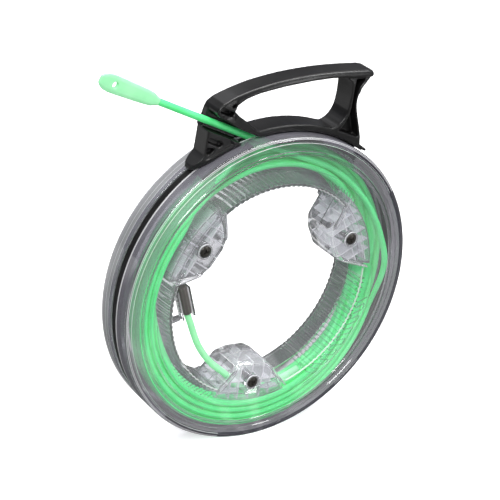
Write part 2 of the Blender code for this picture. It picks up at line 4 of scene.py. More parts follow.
import bmesh
import bpy
import numpy as np
from mathutils import Matrix, Vector, noise


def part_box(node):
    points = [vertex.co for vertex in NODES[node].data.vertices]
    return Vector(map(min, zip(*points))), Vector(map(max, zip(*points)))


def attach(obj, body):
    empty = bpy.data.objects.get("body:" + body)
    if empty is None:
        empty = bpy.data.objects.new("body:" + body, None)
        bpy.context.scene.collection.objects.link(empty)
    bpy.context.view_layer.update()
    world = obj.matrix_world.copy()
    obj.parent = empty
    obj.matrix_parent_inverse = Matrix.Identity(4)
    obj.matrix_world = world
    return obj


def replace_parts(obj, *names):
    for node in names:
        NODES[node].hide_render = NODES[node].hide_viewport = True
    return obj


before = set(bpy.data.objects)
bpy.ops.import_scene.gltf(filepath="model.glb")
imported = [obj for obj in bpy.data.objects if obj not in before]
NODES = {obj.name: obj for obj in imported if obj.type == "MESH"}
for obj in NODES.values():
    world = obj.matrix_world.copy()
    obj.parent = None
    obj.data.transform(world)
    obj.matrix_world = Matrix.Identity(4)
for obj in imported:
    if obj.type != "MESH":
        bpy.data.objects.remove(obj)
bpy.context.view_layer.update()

CENTRE_Z = -0.200               # the case axis, under the hand hold
FLOOR_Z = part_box("front_shell")[0].z
ROD = 0.003175                  # radius of the tape
RISE = math.radians(24.1)       # slope of the tape's outgoing run
RUN_OFFSET = 0.1234             # distance of that run from the case axis
LEAD_START, LEAD_END = -0.0120, 0.1947
TAIL_DEPTH = -0.0120
RUN = Vector((-math.cos(RISE), 0.0, math.sin(RISE)))
RUN_NORMAL = Vector((math.sin(RISE), 0.0, math.cos(RISE)))


# ---- small helpers ----
def polar(radius, degrees, depth=0.0):
    """A point round the case axis."""
    a = math.radians(degrees)
    return Vector((radius * math.cos(a), depth, radius * math.sin(a) + CENTRE_Z))


def along_run(distance):
    """A point on the outgoing run, counted from where it touches the winding."""
    p = RUN_NORMAL * RUN_OFFSET + RUN * distance
    return Vector((p.x, 0.0, p.z + CENTRE_Z))


def direction(degrees):
    return polar(1.0, degrees) - polar(0.0, 0)


def circle(centre, radius, depth, steps):
    """Points of a circle round a line along y, at the given depth."""
    return [Vector((centre.x + radius * math.cos(math.tau * i / steps), depth,
                    centre.z + radius * math.sin(math.tau * i / steps))) for i in range(steps)]


def smoothstep(t):
    t = min(1.0, max(0.0, t))
    return t * t * (3 - 2 * t)


def catmull(points, steps):
    """A smooth curve through points, with steps short stretches between each two."""
    points = [Vector(p) for p in points]
    ends = [2 * points[0] - points[1]] + points + [2 * points[-1] - points[-2]]
    out = []
    for a, b, c, d in zip(ends, ends[1:], ends[2:], ends[3:]):
        for i in range(steps):
            t = i / steps
            out.append(0.5 * (2 * b + (c - a) * t + (2 * a - 5 * b + 4 * c - d) * t ** 2
                              + (3 * b - a - 3 * c + d) * t ** 3))
    return out + [points[-1]]


def to_mesh(name, bm):
    mesh = bpy.data.meshes.new(name)
    bm.to_mesh(mesh)
    bm.free()
    return mesh


def linked(name, data):
    thing = bpy.data.objects.new(name, data)
    bpy.context.scene.collection.objects.link(thing)
    return thing


def evaluated_mesh(thing):
    """A new mesh of a thing as its modifiers leave it."""
    bpy.context.view_layer.update()
    return bpy.data.meshes.new_from_object(thing.evaluated_get(bpy.context.evaluated_depsgraph_get()))


def mesh_object(name, bm, finish, body, sharp):
    """Smooth-shaded object on a body, with edges sharp from so many degrees."""
    bmesh.ops.recalc_face_normals(bm, faces=bm.faces)
    mesh = to_mesh(name, bm)
    mesh.shade_smooth()
    mesh.set_sharp_from_angle(angle=math.radians(sharp))
    mesh.materials.append(finish)
    thing = linked(name, mesh)
    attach(thing, body)
    return thing


def loft(bm, rings, closed=False, finishes=0):
    """Skins rings of points. finishes is one material index, or one for each point of a ring."""
    loops = [[bm.verts.new(p) for p in ring] for ring in rings]
    pairs = list(zip(loops, loops[1:])) + ([(loops[-1], loops[0])] if closed else [])
    for low, high in pairs:
        for i in range(len(low)):
            j = (i + 1) % len(low)
            face = bm.faces.new((low[i], low[j], high[j], high[i]))
            face.material_index = finishes[i] if isinstance(finishes, list) else finishes
    if not closed:
        for end in (loops[0], loops[-1]):
            bm.faces.new(end).material_index = finishes if isinstance(finishes, int) else 0


def rod(bm, points, sides):
    """Tape swept along points, with frames carried without twist."""
    side = None
    rings = []
    last = len(points) - 1
    for i, p in enumerate(points):
        way = (points[min(i + 1, last)] - points[max(i - 1, 0)]).normalized()
        if side is None:
            side = way.orthogonal().normalized()
        side = (side - way * side.dot(way)).normalized()
        up = way.cross(side)
        rings.append([p + (side * math.cos(math.tau * k / sides)
                           + up * math.sin(math.tau * k / sides)) * ROD for k in range(sides)])
    loft(bm, rings)


def slab(bm, corners, thickness, finish=0):
    """A small plate on four corners, thickened along its normal."""
    a, b, c, d = corners
    n = (b - a).cross(d - a).normalized() * thickness / 2
    loft(bm, [[p - n for p in corners], [p + n for p in corners]], finishes=finish)


# ---- materials ----
def new_material(name):
    m = bpy.data.materials.new(name)
    m.use_nodes = True
    nt = m.node_tree
    return m, nt, nt.nodes["Principled BSDF"], nt.nodes["Material Output"]


def node(nt, kind, **values):
    n = nt.nodes.new(kind)
    for key, value in values.items():
        setattr(n, key, value)
    return n


def noise_field(nt, scale, detail):
    coords = node(nt, "ShaderNodeTexCoord")
    field = node(nt, "ShaderNodeTexNoise")
    field.inputs["Scale"].default_value = scale
    field.inputs["Detail"].default_value = detail
    nt.links.new(coords.outputs["Object"], field.inputs["Vector"])
    return field


def ramp(nt, source, stops):
    r = node(nt, "ShaderNodeValToRGB")
    elements = r.color_ramp.elements
    for element, (position, colour) in ((elements[0], stops[0]), (elements[1], stops[-1])):
        element.position, element.color = position, (*colour, 1)
    for position, colour in stops[1:-1]:
        elements.new(position).color = (*colour, 1)
    nt.links.new(source, r.inputs["Fac"])
    return r


def map_range(nt, source, low, high, from_low=0.3, from_high=0.7):
    r = node(nt, "ShaderNodeMapRange")
    r.inputs["From Min"].default_value = from_low
    r.inputs["From Max"].default_value = from_high
    r.inputs["To Min"].default_value = low
    r.inputs["To Max"].default_value = high
    nt.links.new(source, r.inputs["Value"])
    return r


def add_bump(nt, shader, field, strength, distance):
    bump = node(nt, "ShaderNodeBump")
    bump.inputs["Strength"].default_value = strength
    bump.inputs["Distance"].default_value = distance
    nt.links.new(field, bump.inputs["Height"])
    nt.links.new(bump.outputs["Normal"], shader.inputs["Normal"])


GRAIN_DEPTH = 0.00006


def satin(name, dark, light, rough, grain=1400.0, specular=0.5, metallic=0.0):
    """Moulded plastic or coated metal: a fine grain, slow colour and roughness drift."""
    m, nt, shader, _ = new_material(name)
    slow = noise_field(nt, 22.0, 4.0)
    tone = ramp(nt, slow.outputs["Fac"], ((0.35, dark), (0.65, light)))
    nt.links.new(tone.outputs["Color"], shader.inputs["Base Color"])
    drift = map_range(nt, slow.outputs["Fac"], rough[0], rough[1])
    nt.links.new(drift.outputs["Result"], shader.inputs["Roughness"])
    fine = noise_field(nt, grain, 2.0)
    add_bump(nt, shader, fine.outputs["Fac"], 0.35, GRAIN_DEPTH)
    shader.inputs["Specular IOR Level"].default_value = specular
    shader.inputs["Metallic"].default_value = metallic
    return m


def tape_finish(name, base, pale, rough, shade=1.0):
    """Glow-in-the-dark sleeve. shade is painted shade: it darkens the colour of what lies deep in the
    case, towards its rear.
    """
    m, nt, shader, _ = new_material(name)
    slow = noise_field(nt, 60.0, 3.0)
    tone = ramp(nt, slow.outputs["Fac"], ((0.3, base), (0.7, pale)))
    split = node(nt, "ShaderNodeSeparateXYZ")
    nt.links.new(node(nt, "ShaderNodeTexCoord").outputs["Object"], split.inputs["Vector"])
    # painted shade: the colour is scaled from 1 at the front down to shade at the rear
    depth = map_range(nt, split.outputs["Y"], 1.0, shade, -0.004, 0.014)
    painted_shade_tone = node(nt, "ShaderNodeVectorMath", operation='SCALE')
    nt.links.new(tone.outputs["Color"], painted_shade_tone.inputs[0])
    nt.links.new(depth.outputs["Result"], painted_shade_tone.inputs["Scale"])
    nt.links.new(painted_shade_tone.outputs["Vector"], shader.inputs["Base Color"])
    drift = map_range(nt, slow.outputs["Fac"], rough - 0.05, rough + 0.05)
    nt.links.new(drift.outputs["Result"], shader.inputs["Roughness"])
    fine = noise_field(nt, 700.0, 2.0)
    add_bump(nt, shader, fine.outputs["Fac"], 0.2, 0.00005)
    shader.inputs["Subsurface Weight"].default_value = 0.25
    shader.inputs["Subsurface Radius"].default_value = (0.4, 1.0, 0.5)
    shader.inputs["Subsurface Scale"].default_value = 0.0015
    # painted glow: a faint emission in the base colour brightens the tape, which is no lamp
    shader.inputs["Emission Color"].default_value = (base[0], base[1], base[2], 1.0)
    shader.inputs["Emission Strength"].default_value = 0.10
    return m


def clear_plastic(name, tint, rough, transmission, clarity=(0.85, 0.85, 0.87), bend=1.42):
    """Smoky polycarbonate: bends and mirrors light, a little hazy, and lets lamps through."""
    m, nt, shader, output = new_material(name)
    slow = noise_field(nt, 30.0, 3.0)
    tone = ramp(nt, slow.outputs["Fac"], ((0.3, tuple(c * 0.94 for c in tint)), (0.7, tint)))
    nt.links.new(tone.outputs["Color"], shader.inputs["Base Color"])
    drift = map_range(nt, slow.outputs["Fac"], rough, rough + 0.04)
    nt.links.new(drift.outputs["Result"], shader.inputs["Roughness"])
    shader.inputs["Transmission Weight"].default_value = transmission
    shader.inputs["IOR"].default_value = bend
    shader.inputs["Coat Weight"].default_value = 0.35
    shader.inputs["Coat Roughness"].default_value = 0.03
    ripple = noise_field(nt, 90.0, 2.0)
    add_bump(nt, shader, ripple.outputs["Fac"], 0.05, 0.00004)
    through = node(nt, "ShaderNodeBsdfTransparent")
    through.inputs["Color"].default_value = (*clarity, 1.0)
    light_path = node(nt, "ShaderNodeLightPath")
    either = node(nt, "ShaderNodeMath", operation='MAXIMUM')
    nt.links.new(light_path.outputs["Is Shadow Ray"], either.inputs[0])
    nt.links.new(light_path.outputs["Is Diffuse Ray"], either.inputs[1])
    mix = node(nt, "ShaderNodeMixShader")
    nt.links.new(either.outputs[0], mix.inputs["Fac"])
    nt.links.new(shader.outputs["BSDF"], mix.inputs[1])
    nt.links.new(through.outputs["BSDF"], mix.inputs[2])
    nt.links.new(mix.outputs["Shader"], output.inputs["Surface"])
    return m


CLEAR = clear_plastic("clear_case", (0.84, 0.84, 0.865), 0.015, 0.96, (0.94, 0.94, 0.95))
# painted highlight: a whiter, hazier copy of the clear plastic, for light lines
PAINTED_LINE_PLASTIC = clear_plastic("clear_painted_line", (0.90, 0.90, 0.92), 0.20, 0.45, (0.94, 0.94, 0.95))
# painted shade: the next four are darker, less clear copies of the clear plastic, for the rim, the face's
# outer band and the outer walls
RIM = clear_plastic("clear_rim", (0.52, 0.515, 0.545), 0.015, 0.90)
SHADED_BAND_PLASTIC = clear_plastic("clear_shaded_band", (0.38, 0.37, 0.40), 0.05, 0.62)
WALLS = clear_plastic("clear_wall", (0.30, 0.292, 0.335), 0.04, 0.62)
REAR_WALL = clear_plastic("clear_rear_wall", (0.40, 0.40, 0.415), 0.08, 0.50)
BOSS = clear_plastic("clear_boss", (0.86, 0.86, 0.885), 0.015, 0.93, (0.93, 0.93, 0.94), 1.37)
# painted shade: a dark copy of the clear plastic, put on one side of the rim's corner
SHADE = clear_plastic("clear_shade", (0.085, 0.082, 0.098), 0.04, 0.45)
shader = SHADE.node_tree.nodes["Principled BSDF"]
shader.inputs["Coat Weight"].default_value = 0.05
shader.inputs["Specular IOR Level"].default_value = 0.2
BLACK = satin("black_handle", (0.0025, 0.0025, 0.0025), (0.006, 0.006, 0.006), (0.30, 0.40), specular=0.36)
STRIP = satin("black_strip", (0.004, 0.004, 0.004), (0.008, 0.008, 0.008), (0.5, 0.65), specular=0.25)
STEEL = satin("black_screw", (0.020, 0.019, 0.017), (0.055, 0.052, 0.046), (0.25, 0.38), metallic=0.6)
BRASS = satin("insert_brass", (0.50, 0.34, 0.12), (0.66, 0.48, 0.20), (0.25, 0.4), metallic=1.0)
GREEN = tape_finish("tape_green", (0.095, 0.82, 0.25), (0.13, 0.90, 0.31), 0.38)
# painted shade: the wound tape's colour darkens towards the rear of the case
WOUND = tape_finish("tape_wound", (0.095, 0.82, 0.25), (0.13, 0.90, 0.31), 0.38, 0.52)
PALE = tape_finish("eye_green", (0.29, 0.80, 0.40), (0.37, 0.87, 0.48), 0.42)
DARK = satin("ferrule_dark", (0.085, 0.076, 0.072), (0.135, 0.124, 0.116), (0.30, 0.42), grain=900.0)

FINISHES = {"front_shell": CLEAR, "rear_shell": CLEAR, "tail_cradle": CLEAR, "handle": BLACK,
            "slot_strip": STRIP, "tail_ferrule": DARK, "pulling_eye": PALE, "tape_tail": PALE,
            "tape_lead": GREEN, "tape_coil": GREEN}
for index in (1, 2, 3):
    FINISHES[f"case_screw_{index}"] = STEEL
    FINISHES[f"threaded_insert_{index}"] = BRASS
shader = BLACK.node_tree.nodes["Principled BSDF"]
shader.inputs["Coat Weight"].default_value = 0.35
shader.inputs["Coat Roughness"].default_value = 0.18
for name, finish in FINISHES.items():
    for place in NODES[name].material_slots:
        place.material = finish


def strips(nt, count, low, high):
    """Upright bright strips round the studio, as seen in shiny plastic."""
    coords = node(nt, "ShaderNodeTexCoord")
    source = "Generated" if nt.nodes.get("Background") else "Object"
    radial = node(nt, "ShaderNodeTexGradient", gradient_type='RADIAL')
    nt.links.new(coords.outputs[source], radial.inputs["Vector"])
    turns = node(nt, "ShaderNodeMath", operation='MULTIPLY')
    turns.inputs[1].default_value = count
    nt.links.new(radial.outputs["Fac"], turns.inputs[0])
    fold = node(nt, "ShaderNodeMath", operation='PINGPONG')
    fold.inputs[1].default_value = 0.5
    nt.links.new(turns.outputs[0], fold.inputs[0])
    return map_range(nt, fold.outputs[0], low, high, 0.30, 0.42)


# ---- softened solids: handle and eye ----
def softened(name, voxel, repeats):
    """A relaxed, evenly meshed copy of a node's mesh."""
    helper = linked("helper", NODES[name].data.copy())
    remesh = helper.modifiers.new("even_mesh", 'REMESH')
    remesh.mode = 'VOXEL'
    remesh.voxel_size = voxel
    relax = helper.modifiers.new("soft_edges", 'SMOOTH')
    relax.iterations = repeats
    mesh = evaluated_mesh(helper)
    bpy.data.objects.remove(helper, do_unlink=True)
    mesh.shade_smooth()
    mesh.materials.clear()
    return mesh


def stand_in(name, mesh, finish, body, node_name):
    """An object with this mesh in place of a CAD node."""
    mesh.materials.append(finish)
    thing = linked(name, mesh)
    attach(thing, body)
    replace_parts(thing, node_name)
    return thing


GRIP_TOP = [(-0.0740, 0.1800), (-0.0668, 0.1866), (-0.0524, 0.1925), (-0.0300, 0.1985), (0.0000, 0.2030),
            (0.0320, 0.2050), (0.0600, 0.2048), (0.0860, 0.2034), (0.0926, 0.2008)]
GRIP_UNDERSIDE = [(-0.0740, 0.1700), (-0.0538, 0.1782), (-0.0525, 0.1830), (-0.0440, 0.1885),
                  (-0.0300, 0.1925), (-0.0050, 0.1960), (0.0250, 0.1984), (0.0480, 0.1989),
                  (0.0640, 0.1975), (0.0926, 0.1960)]
GRIP_WIDEST = 0.30              # where the grip is widest, as a share of its height
GRIP_CROWN = 0.13               # how much narrower its top is, as a share of its width
GRIP_ROUNDING = 0.16            # and its underside
GRIP_START, GRIP_FADE = -0.0700, 0.0160     # the crown sets in behind the nose


def crown(mesh):
    """Narrows the grip towards its top and, less, towards its underside."""
    count = len(mesh.vertices)
    flat = np.empty(count * 3)
    mesh.vertices.foreach_get("co", flat)
    co = flat.reshape(count, 3)
    x, z = co[:, 0], co[:, 2] - CENTRE_Z
    top = np.interp(x, *zip(*GRIP_TOP))
    under = np.interp(x, *zip(*GRIP_UNDERSIDE))
    t = (z - under) / (top - under)
    above = np.clip((t - GRIP_WIDEST) / (1 - GRIP_WIDEST), 0, 1)
    below = np.clip((GRIP_WIDEST - t) / GRIP_WIDEST, 0, 1)
    fade = np.clip((x - GRIP_START) / GRIP_FADE, 0, 1) * np.clip((t + 0.6) / 0.6, 0, 1)
    co[:, 1] *= 1 - fade * (GRIP_CROWN * above ** 2 + GRIP_ROUNDING * below ** 2)
    mesh.vertices.foreach_set("co", co.ravel())
    mesh.update()


handle_mesh = softened("handle", 0.00055, 6)
crown(handle_mesh)
handle = stand_in("handle_body", handle_mesh, BLACK, "handle", "handle")
relax = handle.modifiers.new("soft_edges", 'SMOOTH')
relax.iterations = 4
stand_in("eye_body", softened("pulling_eye", 0.0003, 4), PALE, "tape", "pulling_eye")


# ---- the clear case ----
CASE_RADIUS, CASE_DEPTH, WALL, OPENING = 0.1524, 0.0230, 0.0025, 0.1040
RIM_ROUNDING = 0.0030
BOSS_ANGLES = (25.4, 145.4, 265.4)
BOSS_FACE, BOSS_ROOT, POST_CIRCLE = 0.0204, 0.1134, 0.0939
BOSS_INNER, BOSS_HALF_WIDTH, BOSS_HALF_ANGLE = 0.0725, 0.0125, 20.5
BOSS_WIDENING = 0.94            # growth of a boss's half width with distance from the axis
POST_RADIUS, POST_BORE, INSERT_BORE = 0.0076, 0.0025, 0.0036
POST_TOP, REAR_POST_TOP = 0.0236, 0.0182
RIB_FOOT, RIB_TOP, RIB_THICKNESS = 0.0040, 0.0184, 0.0013
RING_STEPS = 480
KNURLS = ((50, 121), (170, 242), (302, 358))
KNURL_DEPTH = 0.0007
PAINTED_HIGHLIGHT, SHADED_RIM, SHADED_BAND, SIDE, BACK, CUP, PAINTED_SHADE = 1, 2, 3, 4, 5, 6, 7     # material indices of the ring
RING_FINISHES = (PAINTED_LINE_PLASTIC, RIM, SHADED_BAND_PLASTIC, WALLS, REAR_WALL, BOSS, SHADE)    # in the same order
SHADED_BAND_INNER, RIM_LINE, SHADED_RIM_INNER = 0.1375, 0.1464, 0.1488      # radii where the face's finish changes
DARK_MIDDLE = -36               # painted shade: the rim's corner is made dark on this side
DARK_CORE, DARK_HALF, DARK_END = 70, 97, 112    # degrees from there: no painted highlight lines, dark painted shade, grey painted shade


def rounded(cr, cy, radius, start, end, steps):
    """Points (radius, depth) of an arc in the section of the ring."""
    return [(cr + radius * math.cos(math.radians(start + (end - start) * i / steps)),
             cy + radius * math.sin(math.radians(start + (end - start) * i / steps)))
            for i in range(steps + 1)]


def ring_section(in_boss=False, notch=0.0):
    """Section of half of the ring, with depth counted towards its own face.

    In a boss the face slopes down to the boss and the wall stops short.
    """
    lip = rounded(0.1516, 0.0050, 0.0008, -90, 0, 4)
    rim = [(CASE_RADIUS, y) for y in (0.0066, 0.0092, 0.0096, 0.0140, 0.0144)]
    rim += rounded(CASE_RADIUS - RIM_ROUNDING, CASE_DEPTH - RIM_ROUNDING, RIM_ROUNDING, 0, 90, 8)
    rim_line = [(0.1478, 0.0230), (0.1475, 0.0225), (0.1466, 0.0225), (0.1463, 0.0230)]
    groove = [(0.1424, 0.0230), (0.1418, 0.0222), (0.1386, 0.0222), (0.1380, 0.0230)]
    step = [(0.1370, 0.0230), (0.1367, 0.0222), (0.1356, 0.0222), (0.1353, 0.0230), (0.1342, 0.0230),
            (0.1338, 0.0225), (0.1216, 0.0225), (0.1190, 0.0230)]
    edge = rounded(OPENING + notch + 0.0010, CASE_DEPTH - 0.0010, 0.0010, 90, 180, 4)
    inside = [(OPENING + notch, 0.00015), (OPENING + WALL, 0.00015)]
    if in_boss:
        edge = [(0.1085, 0.0230), (0.1062, 0.0225), (0.1032, 0.0212), (0.1012, 0.0205), (0.1004, 0.0202)]
        inside = [(0.1004, 0.0192), (OPENING + WALL, 0.0192)]
    inside += rounded(OPENING + WALL + 0.0010, 0.0195, 0.0010, 180, 90, 4)
    inside += rounded(0.1484, 0.0190, 0.0015, 90, 0, 5) + [(0.1499, 0.0042)]
    return lip + rim + rim_line + groove + step + edge + inside


def ring_finish(a, b, side):
    """Material index of a stretch of the section, from where it lies."""
    radius, depth = (a[0] + b[0]) / 2, (a[1] + b[1]) / 2
    lean = math.degrees(math.atan2(depth - CASE_DEPTH + RIM_ROUNDING, radius - CASE_RADIUS + RIM_ROUNDING))
    # painted highlights: light lines on the opening's lip, the slot's lip, two bands of the rim's rounded
    # corner and the rim line
    opening_lip = depth > 0.0212 and radius < OPENING + 0.0009
    slot_lip = side < 0 and radius > 0.1520 and depth < 0.0066
    corner_highlights = radius > 0.1495 and depth > 0.0200 and (44 < lean < 57 or 66 < lean < 79)
    rim_line = 0.1455 < radius < 0.1480 and abs(a[0] - b[0]) < 0.0007 and depth > 0.0221
    if opening_lip or slot_lip or corner_highlights or rim_line:
        return PAINTED_HIGHLIGHT
    # painted shade: the face's outer band and the rim get greyer copies of the plastic, the outer walls
    # darker ones
    if 0.1340 < radius < SHADED_BAND_INNER and abs(a[0] - b[0]) > 0.0008 and depth > 0.0215:
        return SHADED_BAND
    if radius > 0.1522 and depth < 0.0200:
        # painted highlight: two light lines round the rear half's outer wall
        if side > 0 and (0.0091 < depth < 0.0097 or 0.0139 < depth < 0.0145):
            return PAINTED_HIGHLIGHT
        return SIDE if side < 0 or depth < 0.0092 else BACK
    if SHADED_BAND_INNER < radius < 0.1490 and depth > 0.0215:
        return SHADED_BAND
    return SHADED_RIM if radius > SHADED_RIM_INNER else 0


def apart(a, b):
    """Angle between two directions, in degrees."""
    return abs((a - b + 180) % 360 - 180)


def near_boss(angle, reach):
    return any(apart(angle, a) < reach for a in BOSS_ANGLES)


def tint_face(face):
    """Bosses have their own finish, the rim's corner gets painted shade on one side, and where the tape
    comes in the face's outer band takes the lighter rim finish.
    """
    spot = face.calc_center_median() - polar(0.0, 0)
    angle, radius = math.degrees(math.atan2(spot.z, spot.x)), math.hypot(spot.x, spot.z)
    away = apart(angle, DARK_MIDDLE)
    on_corner = radius > RIM_LINE and abs(spot.y) > 0.0190
    if near_boss(angle, 21.5) and radius < 0.120:
        face.material_index = CUP
    # painted shade on the rim's corner: dark near the middle of that side, grey towards its ends
    elif on_corner and (away < DARK_CORE or away < DARK_END and face.material_index != PAINTED_HIGHLIGHT):
        face.material_index = PAINTED_SHADE if away < DARK_HALF else SIDE
    elif face.material_index == SHADED_BAND and spot.z > 0.060 and -0.075 < spot.x < 0.075:
        face.material_index = SHADED_RIM


def add_ring(bm, side):
    section = ring_section()
    finishes = [ring_finish(a, b, side) for a, b in zip(section, section[1:] + section[:1])]
    rings = []
    for i in range(RING_STEPS):
        angle = 360.0 * i / RING_STEPS
        in_notch = i // 2 % 2 and any(low < angle < high for low, high in KNURLS)
        section = ring_section(near_boss(angle, 20.0), KNURL_DEPTH if in_notch else 0.0)
        rings.append([polar(r, angle, side * y) for r, y in section])
    loft(bm, rings, closed=True, finishes=finishes)
    for face in bm.faces:
        tint_face(face)


def boss_ring(angle, root, inset, lift, depth):
    """Section of one finger-grip boss: wide on the case wall, narrow inside."""
    inner = BOSS_INNER + inset + lift
    half = BOSS_HALF_ANGLE - math.degrees(inset / OPENING)
    points = [polar(root, angle - half + 2 * half * i / 10, depth) for i in range(11)]
    reach = inner + 0.0030 + 0.4 * inset
    width = BOSS_HALF_WIDTH + BOSS_WIDENING * (reach - BOSS_INNER)
    bend = math.degrees(math.atan2(width, reach))
    middle, across = polar(inner, angle, depth), direction(angle + 90)
    points.append(polar(math.hypot(reach, width), angle + bend, depth))
    points += [middle + across * 0.0090, middle - across * 0.0090]
    points.append(polar(math.hypot(reach, width), angle - bend, depth))
    return points


def add_boss_cup(bm, angle, side):
    """A boss as a hollow cup, open at the middle plane."""
    wall = 0.0022
    levels = ((wall, 0.0040, 0.0184), (wall, 0.0016, 0.0160), (wall, 0.0, 0.0130), (wall, 0.0, 0.0002),
              (0.0, 0.0, 0.0002), (0.0, 0.0, 0.0135), (0.0, 0.0016, 0.0178), (0.0, 0.0036, 0.0200),
              (0.0008, 0.0045, BOSS_FACE))
    loft(bm, [boss_ring(angle, BOSS_ROOT - 0.15 * inset, inset, lift, side * depth)
              for inset, lift, depth in levels])


def add_post(bm, angle, side):
    """A round screw post. The front one has a stepped bore and a chamfer with a painted highlight."""
    centre = polar(POST_CIRCLE, angle)
    chamfer_highlight = 0
    section = [(POST_RADIUS, 0.0003), (POST_RADIUS, REAR_POST_TOP), (INSERT_BORE, REAR_POST_TOP),
               (INSERT_BORE, 0.0003)]
    if side < 0:
        section = [(POST_RADIUS, 0.0003), (POST_RADIUS, POST_TOP - 0.0008), (0.0072, POST_TOP),
                   (0.0063, POST_TOP), (0.0060, POST_TOP - 0.0004), (0.0059, 0.0212), (POST_BORE, 0.0212),
                   (POST_BORE, 0.0003)]
        chamfer_highlight = [0, PAINTED_HIGHLIGHT] + [0] * (len(section) - 2)
    steps = 36
    circles = [circle(centre, r, side * y, steps) for r, y in section]
    loft(bm, list(zip(*circles)), closed=True, finishes=chamfer_highlight)


def add_rib(bm, angle, start, end, side):
    """An upright rib in a boss between two points given as (distance out, distance across)."""
    out = direction(angle).normalized()
    across = Vector((-out.z, 0.0, out.x))
    a, b = [polar(0.0, 0) + out * o + across * c for o, c in (start, end)]
    low, high = Vector((0.0, side * RIB_FOOT, 0.0)), Vector((0.0, side * RIB_TOP, 0.0))
    # the whole rib takes the painted highlight finish
    slab(bm, [a + low, b + low, b + high, a + high], RIB_THICKNESS, PAINTED_HIGHLIGHT)


def add_wing(bm, angle, hand):
    """The raised pointed ridge along one side of a boss."""
    reach = BOSS_INNER + 0.0050
    width = BOSS_HALF_WIDTH + BOSS_WIDENING * 0.0050
    inner = polar(math.hypot(reach, width), angle + hand * math.degrees(math.atan2(width, reach)))
    outer = polar(OPENING + 0.0012, angle + hand * BOSS_HALF_ANGLE)
    way = (outer - inner).normalized()
    across = Vector((-way.z, 0.0, way.x)) * -hand
    points = []
    for distance, thick, height in ((0.0022, 0.0006, 0.0212), (0.0060, 0.0022, 0.0232),
                                    (0.0200, 0.0026, 0.0249),
                                    ((outer - inner).length + 0.0034, 0.0012, 0.0250)):
        foot = inner + way * distance
        points.append([Vector((p.x, -d, p.z)) for p, d in
                       ((foot, BOSS_FACE), (foot, height), (foot + across * thick * 0.6, height),
                        (foot + across * thick, BOSS_FACE))])
    loft(bm, points)


def add_mark(bm, radius, angle, length, lean, width=0.0008, height=0.0004):
    """A short raised tick moulded in the front face."""
    out = direction(angle + lean).normalized()
    across = Vector((-out.z, 0.0, out.x)) * width / 2
    a, b = polar(radius, angle) - out * length / 2, polar(radius, angle) + out * length / 2
    loft(bm, [[Vector((p.x, -y, p.z)) for p in (a - across, a + across, b + across, b - across)]
              for y in (CASE_DEPTH - 0.0001, CASE_DEPTH + height)])


def add_arc_mark(bm, radius, start, end, width=0.0008, height=0.0004):
    """A thin raised arc moulded in the front face."""
    steps = max(3, int(abs(end - start) / 1.5))
    rings = []
    for i in range(steps + 1):
        angle = start + (end - start) * i / steps
        rings.append([polar(r, angle, -y) for r, y in ((radius, 0.0229), (radius, CASE_DEPTH + height),
                                                       (radius + width, CASE_DEPTH + height),
                                                       (radius + width, 0.0229))])
    loft(bm, rings)


def add_marks(bm):
    """Generic moulding on the front face: ticks, slanted bars and thin arcs."""
    for start, end, step in ((44, 66, 2.2), (70, 92, 2.2), (96, 122, 2.2)):
        for i in range(int((end - start) / step)):
            add_mark(bm, 0.1128, start + i * step, 0.0060, 38)
    for i in range(24):
        add_mark(bm, 0.1118, 188 + i * 2.3, 0.0050 + 0.0022 * (i % 2), -32)
    for i in range(15):
        add_mark(bm, 0.1128, 301 + i * 3.2, 0.0105, 36, width=0.0011)
        if i < 14:
            radius, start = (0.1076, 299.5 + i * 3.2) if i % 2 else (0.1170, 299.5 + i * 3.2 + 3.4)
            add_arc_mark(bm, radius, start, start + 2.5)
    for start, end in ((42, 124), (186, 244), (296, 350)):
        add_arc_mark(bm, 0.1200, start, end, 0.0006, 0.0002)
    for i in range(40):
        add_mark(bm, 0.1262, 204 + i * 0.95, 0.0022, 0, width=0.0005, height=0.0003)


def add_wall_ribs(bm, side):
    """Fine upright ribs behind the wall of the opening."""
    for start, end in ((300, 362), (49, 122), (169, 243)):
        for i in range(int((end - start) / 2.6)):
            angle = start + 2.6 * i
            slab(bm, [polar(OPENING + WALL + 0.0001, angle, side * 0.0008),
                      polar(OPENING + WALL + 0.0018, angle, side * 0.0008),
                      polar(OPENING + WALL + 0.0030, angle, side * 0.0202),
                      polar(OPENING + WALL + 0.0001, angle, side * 0.0202)], 0.0008)


RIBS = (((0.0755, 0.0), (0.0861, 0.0)), ((0.1017, 0.0), (0.1125, 0.0)),
        ((0.0768, 0.0125), (0.1120, 0.0125)), ((0.0768, -0.0125), (0.1120, -0.0125)),
        ((POST_CIRCLE, 0.0079), (POST_CIRCLE, 0.0285)), ((POST_CIRCLE, -0.0079), (POST_CIRCLE, -0.0285)),
        ((0.0860, 0.0225), (0.1100, 0.0225)), ((0.0860, -0.0225), (0.1100, -0.0225)),
        ((0.1040, 0.0125), (0.1040, 0.0330)), ((0.1040, -0.0125), (0.1040, -0.0330)))


